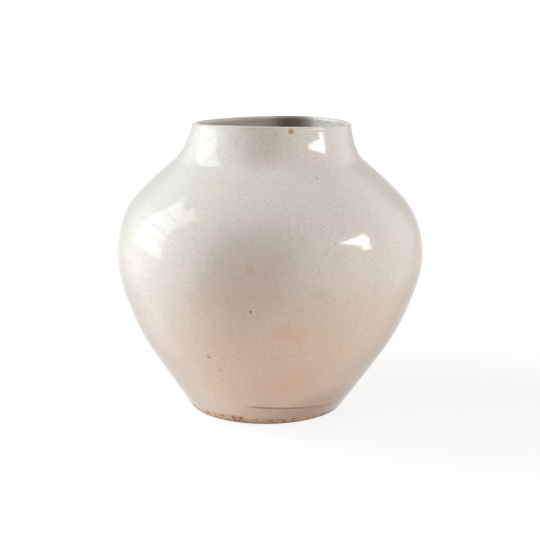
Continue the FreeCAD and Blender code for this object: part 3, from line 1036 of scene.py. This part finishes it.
def white_glaze(name, low, high):
    """The glaze for a piece between two heights, with the marks that lie on it."""
    finish = Finish(name)
    height = finish.node("ShaderNodeSeparateXYZ", {}, {0: finish.place}, 2)
    across, depth = height.output("X"), height.output("Y")
    colour = ground(finish, across, depth, height)
    if low < LINE_START.z:
        colour = stained(finish, colour, across, depth, height)
    colour = painted_edge_shade(finish, colour)
    if low == NECK_TOP:
        colour = painted_neck_bore_shade(finish, colour, across)
    for place, size, tone, strength, stretch in soft_marks:
        if low - size < place.z < high + size:
            colour = finish.blend(finish.spot(place, size, SOFT_EDGE, stretch) * strength, colour, tone)
    roughness = GLOSS + GLOSS_WAVER * finish.noise(9 * MM, 3)
    peel = finish.noise(PEEL_SIZE, 2, shift=1.3)
    bare = None
    for place, size, tone, strength, stretch in hard_marks:
        if low - size < place.z < high + size:
            mask = finish.spot(place, size, HARD_EDGE, stretch)
            colour = finish.blend(mask * strength, colour, tone)
            bare = mask if bare is None else bare.both(mask)
    if bare is not None:
        roughness = roughness + BARE_ROUGH * bare
        peel = peel - bare * 0.8
    return finish.surface(colour, roughness, finish.bumps(peel, PEEL_DEPTH), IOR=1.5)


glazed = [
    (lower_bowl, BOWL_BASE, SEAM_BOTTOM), (belly_band, SEAM_BOTTOM, SEAM_TOP),
    (upper_bowl, SEAM_TOP, NECK_BOTTOM), (neck_band, NECK_BOTTOM, NECK_TOP),
    (collar, NECK_TOP, LIP_BASE + LIP_HEIGHT), (foot_glaze, 0.0, FOOT_TOP), (foot_line, FOOT_TOP, BOWL_BASE),
]
for piece, low, high in glazed:
    piece.data.materials.append(white_glaze("glaze on " + piece.name.replace("_", " "), low, high))
print("glazed pieces:", len(glazed))

# %% [markdown]
# ## Bare clay
#
# Where no glaze lies the clay has burnt to the colour of a biscuit, with grains of sand and brown scorch,
# and it is darker along its lowest edge. A flat brown would look painted, so each of these is a layer of its
# own, and the sand roughens the surface.

# %% The clay
PALE_CLAY, DARK_CLAY, SCORCH = paint(240, 220, 204), paint(214, 180, 158), paint(140, 98, 74)
LOWEST_DARK, SAND = paint(118, 80, 62), paint(70, 48, 36)
LOWEST_TOP, LOWEST_FULL, LOWEST_RAGGED = 3.2 * MM, 1.2 * MM, 3 * MM
SAND_DEPTH = 0.12 * MM


def bare_clay():
    """The clay of the foot, burnt, and darker along its lowest edge."""
    finish = Finish("bare clay")
    height = finish.node("ShaderNodeSeparateXYZ", {}, {0: finish.place}, 2)
    scorch = finish.fade(finish.noise(6 * MM, 4, 0.7), 0.5, 0.62)
    colour = finish.blend(finish.noise(4 * MM, 3), PALE_CLAY, DARK_CLAY)
    colour = finish.blend(scorch * 0.8, colour, SCORCH)
    # darker along the lowest edge of the foot
    lowest_dark = finish.fade(height + finish.noise(6 * MM, 3) * LOWEST_RAGGED, LOWEST_TOP, LOWEST_FULL)
    colour = finish.blend(lowest_dark * 0.8, colour, LOWEST_DARK)
    colour = finish.blend(finish.specks(2.2 * MM, 0.5 * MM, 0.5) * 0.6, colour, SAND)
    grain = finish.noise(0.7 * MM, 3)
    return finish.surface(colour, 0.75 + 0.2 * grain, finish.bumps(grain, SAND_DEPTH))


foot_clay.data.materials.append(bare_clay())
print("finishes:", len(bpy.data.materials))

# %% [markdown]
# ## Windows
#
# A glazed jar shows where its light comes from: a tall window with thin bars at the left, a little behind
# the jar, a small bright one at the right, its lower corner behind a curtain, and far back a wall that
# shines a little. A ready-made studio picture would show another room. So each is built of upright panes
# two metres off, whose power follows from the brightness of their face.

# %% Panes of light
WINDOW_DISTANCE = 2.0
TALL_WAY, SMALL_WAY, FAR_WAY = -100, 70, 119
TALL_LIGHT, SMALL_LIGHT, FAR_LIGHT = (2.8, 2.9, 3.1), (11.0, 11.0, 11.0), (0.3, 0.33, 0.35)


def pane(name, turn, edges, light, shows=True):
    """An upright pane that faces the jar from a direction in degrees. Edges: left, right, bottom, top."""
    left, right, bottom, top = edges
    turn = math.radians(turn)
    way = Vector((math.sin(turn), -math.cos(turn), 0))
    across = Vector((math.cos(turn), math.sin(turn), 0))
    lamp = bpy.data.lights.new(name, "AREA")
    lamp.shape = "RECTANGLE"
    lamp.size, lamp.size_y = right - left, top - bottom
    lamp.color = [share / max(light) for share in light]
    lamp.energy = max(light) * math.pi * lamp.size * lamp.size_y
    stand = bpy.data.objects.new(name, lamp)
    stand.location = way * WINDOW_DISTANCE + across * (left + right) / 2 + Vector((0, 0, (bottom + top) / 2))
    stand.rotation_mode = "QUATERNION"
    stand.rotation_quaternion = (-way).to_track_quat("-Z", "Y")
    stand.visible_camera = False
    stand.visible_glossy = shows
    bpy.context.collection.objects.link(stand)


tall_panes = [
    (-0.57, 0.60, 0.24, 0.60), (-0.57, 0.60, 0.66, 0.94), (-0.57, 0.62, 1.0, 1.68),
    (-0.57, 0.75, 1.74, 2.36), (0.0, 0.82, 2.36, 2.85),
]
small_panes = [
    (0.04, 0.30, 0.76, 0.84), (-0.12, 0.34, 0.84, 0.95), (-0.32, 0.40, 0.95, 1.10),
    (-0.52, 0.38, 1.10, 1.24), (0.02, 0.32, 0.68, 0.75),
]
for number, edges in enumerate(tall_panes):
    pane("tall_window_%d" % number, TALL_WAY, edges, TALL_LIGHT)
for number, edges in enumerate(small_panes):
    pane("small_window_%d" % number, SMALL_WAY, edges, SMALL_LIGHT)
pane("far_wall", FAR_WAY, (-0.6, 0.6, 0.1, 2.6), FAR_LIGHT)
print("panes that show in the glaze:", len(bpy.data.lights))

# %% [markdown]
# ## Soft fills
#
# Walls and curtains around a window light the jar too, without a clear image. Many dim lamps could stand
# for them. A few broad panes that the glaze doesn't mirror do as well.

# %% Fills from the walls
FILL_HALF = 0.6
LOW_FILL, HIGH_FILL = (0.05, 0.9), (0.9, 2.3)
fills = [
    (-100, LOW_FILL, (2.6, 3.5, 4.1)),
    (-100, HIGH_FILL, (3.1, 3.7, 4.1)),
    (-70, LOW_FILL, (3.2, 3.4, 3.2)),
    (40, LOW_FILL, (1.1, 1.1, 1.0)),
    (72, LOW_FILL, (1.1, 1.2, 1.1)),
    (72, HIGH_FILL, (0.8, 1.0, 1.15)),
]
for number, (turn, span, light) in enumerate(fills):
    pane("fill_%d" % number, turn, (-FILL_HALF, FILL_HALF) + span, light, shows=False)
print("lamps:", len(bpy.data.lights))

# %% [markdown]
# ## The room
#
# The room is a plain light from all round, brighter from the window's side and dimmer and warmer in front.
# To the camera, and in reflections, it is white. A lit white wall would wash over the jar, so here the
# colour changes with the kind of ray.

# %% The light of the room
scene = bpy.context.scene
scene.view_settings.view_transform = "Standard"
FRONT, LEFT, RIGHT = (0.19, 0.17, 0.162, 1), (0.52, 0.54, 0.58, 1), (0.31, 0.285, 0.275, 1)
ABOVE, BEHIND, WHITE = (0.34, 0.29, 0.25, 1), (0.40, 0.395, 0.39, 1), (1, 1, 1, 1)
room = Recipe("room", "worlds", "Generated")
side = room.node("ShaderNodeSeparateXYZ", {}, {0: room.place})
light = room.blend(room.fade(side.output("Y"), -0.4, 0.8), FRONT, BEHIND)
light = room.blend(room.fade(side, -0.1, -1.0), light, LEFT)
light = room.blend(room.fade(side, 0.1, 1.0), light, RIGHT)
light = room.blend(room.fade(side.output("Z"), 0.1, 0.9), light, ABOVE)
backdrop = room.node("ShaderNodeBackground", {}, {"Color": room.blend(room.seen(), light, WHITE)})
room.node("ShaderNodeOutputWorld", {}, {"Surface": backdrop})
scene.world = room.made
print("the room has %d nodes" % len(room.tree.nodes))

# %% [markdown]
# ## The table
#
# The table throws warm light up at the jar. To the camera it is nearly white, but it keeps part of its own
# shading, so the jar's soft shadow stays on it. A plane that only catches shadows would send no light up,
# so a Mix Shader chooses between two faces.

# %% A pale table
TABLE_HALF = 4.0
GLOW_START, GLOW_END = 0.25, 1.0
GLOW, LIT, BOUNCE = (0.80, 0.80, 0.80, 1), (0.24, 0.24, 0.24, 1), (0.80, 0.66, 0.55, 1)
corners = [(x * TABLE_HALF, y * TABLE_HALF, 0) for x, y in ((-1, -1), (1, -1), (1, 1), (-1, 1))]
table_mesh = bpy.data.meshes.new("table")
table_mesh.from_pydata(corners, [], [(0, 1, 2, 3)])
table = bpy.data.objects.new("table", table_mesh)
bpy.context.collection.objects.link(table)

top = Recipe("pale table")
far = top.fade(top.length(top.place), GLOW_START, GLOW_END)
glow = top.node("ShaderNodeEmission", {}, {"Color": top.blend(far, GLOW, WHITE)})
lit = top.node("ShaderNodeBsdfDiffuse", {}, {"Color": LIT})
shown = top.node("ShaderNodeAddShader", {}, {0: lit, 1: glow})
bounce = top.node("ShaderNodeBsdfDiffuse", {}, {"Color": BOUNCE})
choice = top.node("ShaderNodeMixShader", {}, {0: top.seen(), 1: bounce, 2: shown})
top.node("ShaderNodeOutputMaterial", {}, {"Surface": choice})
table.data.materials.append(top.made)
print("table: %.0f m across" % (2 * TABLE_HALF))
